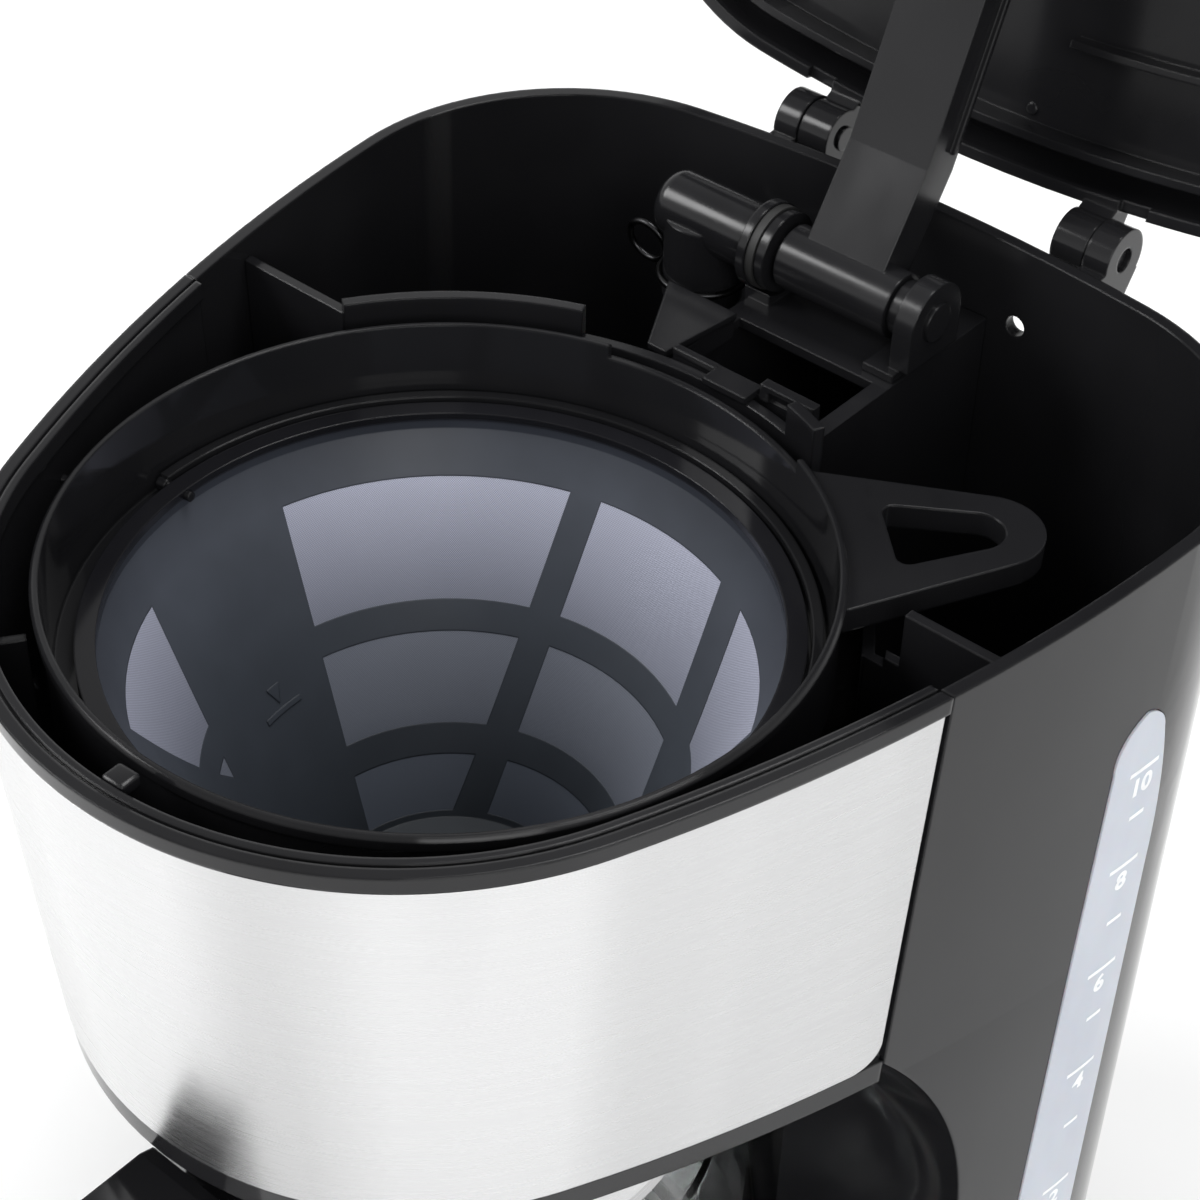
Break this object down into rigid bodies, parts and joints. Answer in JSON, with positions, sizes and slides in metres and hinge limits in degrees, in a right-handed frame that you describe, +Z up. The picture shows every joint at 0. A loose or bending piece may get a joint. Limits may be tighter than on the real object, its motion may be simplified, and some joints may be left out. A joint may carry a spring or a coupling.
{
  "type": "drip coffee maker",
  "caption": "Drip coffee maker with a hinged lid standing open, lift-out filter basket, swinging water arm, steel brew head and a lidded glass jug on a hot plate.",
  "frame": {"origin": "under the middle of the whole object, on the surface it stands on", "axes": "+Z up, -Y the front of the machine with the jug handle, +X to the right seen from the front"},
  "size_m": [0.1935, 0.3144, 0.4884],
  "materials": {
    "aluminium": "bare aluminium",
    "bezel_black": "satin black switch moulding",
    "black_steel": "blackened spring steel",
    "brushed_steel": "horizontally brushed stainless steel",
    "clear_window": "frosted clear plastic",
    "frame_grey": "satin dark grey plastic",
    "glass": "clear borosilicate glass",
    "grip_black": "glossy black grip moulding",
    "hot_enamel": "non-stick coated plate",
    "housing_black": "glossy black ABS",
    "inner_black": "satin black moulding",
    "mesh_steel": "fine woven steel mesh",
    "rubber": "black rubber",
    "silicone": "translucent silicone",
    "wire_cover": "insulated leads",
    "zinc_steel": "plated steel"
  },
  "bodies": {
    "housing": {"base_shell": "housing_black", "base_plate": "inner_black", "rubber_feet": "rubber", "base_screws": "zinc_steel", "hot_plate": "hot_enamel", "plate_seal": "silicone", "heater_element": "aluminium", "heater_water_tube": "aluminium", "heater_clamp": "zinc_steel", "thermostat": "zinc_steel", "thermal_fuse": "zinc_steel", "check_valve": "inner_black", "cold_hose": "silicone", "hot_hose": "silicone", "cord_bush": "rubber", "terminal_block": "bezel_black", "wiring": "wire_cover", "switch_bezel": "bezel_black", "rear_housing": "housing_black", "level_window": "clear_window", "centre_column": "inner_black", "front_shell": "housing_black", "steel_panel": "brushed_steel", "top_trim": "housing_black", "well_deck": "inner_black", "latch_clip": "inner_black", "riser_tube": "silicone", "tank_grommets": "silicone", "water_elbow": "inner_black", "elbow_seal": "rubber", "hose_clip": "black_steel", "pivot_bracket": "inner_black", "arm_pin": "inner_black", "lid_pins": "inner_black"},
    "lid": {"lid_cover": "housing_black", "lid_liner": "inner_black", "lid_screws": "zinc_steel"},
    "arm": {"spout_arm": "inner_black", "spout_cover": "inner_black"},
    "basket": {"filter_basket": "housing_black", "valve_spring": "zinc_steel"},
    "valve": {"valve_plunger": "inner_black", "valve_seal": "silicone"},
    "filter": {"filter_frame": "frame_grey", "filter_mesh": "mesh_steel"},
    "bail": {"filter_bail": "grip_black"},
    "jug": {"jug_glass": "glass", "jug_band": "brushed_steel", "jug_handle": "grip_black", "jug_lid": "grip_black", "jug_lid_pin": "zinc_steel", "band_screw": "zinc_steel"},
    "rocker": {"switch_rocker": "bezel_black"}
  },
  "joints": [
    {"name": "lid_hinge", "type": "hinge", "parent": "housing", "child": "lid", "pos_m": [0, 0.0929, 0.267], "axis": [-1, 0, 0], "range_deg": [-103, 0]},
    {"name": "arm_pivot", "type": "hinge", "parent": "housing", "child": "arm", "pos_m": [0, 0.0589, 0.261], "axis": [-1, 0, 0], "range_deg": [-113.4, 0]},
    {"name": "basket_lift", "type": "slide", "parent": "housing", "child": "basket", "axis": [0, 0, 1], "range_m": [0, 0.15]},
    {"name": "filter_lift", "type": "slide", "parent": "basket", "child": "filter", "axis": [0, 0, 1], "range_m": [0, 0.1]},
    {"name": "bail_fold", "type": "hinge", "parent": "filter", "child": "bail", "pos_m": [0, -0.0541, 0.2462], "axis": [0.9954, 0.0958, 0], "range_deg": [0, 95]},
    {"name": "valve_lift", "type": "slide", "parent": "basket", "child": "valve", "axis": [0, 0, 1], "range_m": [0, 0.0025], "stiffness_N_per_m": 150, "springref_m": -0.004, "deforming": ["valve_spring"]},
    {"name": "jug_slide", "type": "slide", "parent": "housing", "child": "jug", "axis": [0, -1, 0], "range_m": [0, 0.17]},
    {"name": "rocker_tilt", "type": "hinge", "parent": "housing", "child": "rocker", "pos_m": [0, -0.1217, 0.02], "axis": [1, 0, 0], "range_deg": [0, 12]}
  ],
  "couplings": [
    {"joint": "arm_pivot", "follows": "lid_hinge", "ratio": 1.1}
  ]
}
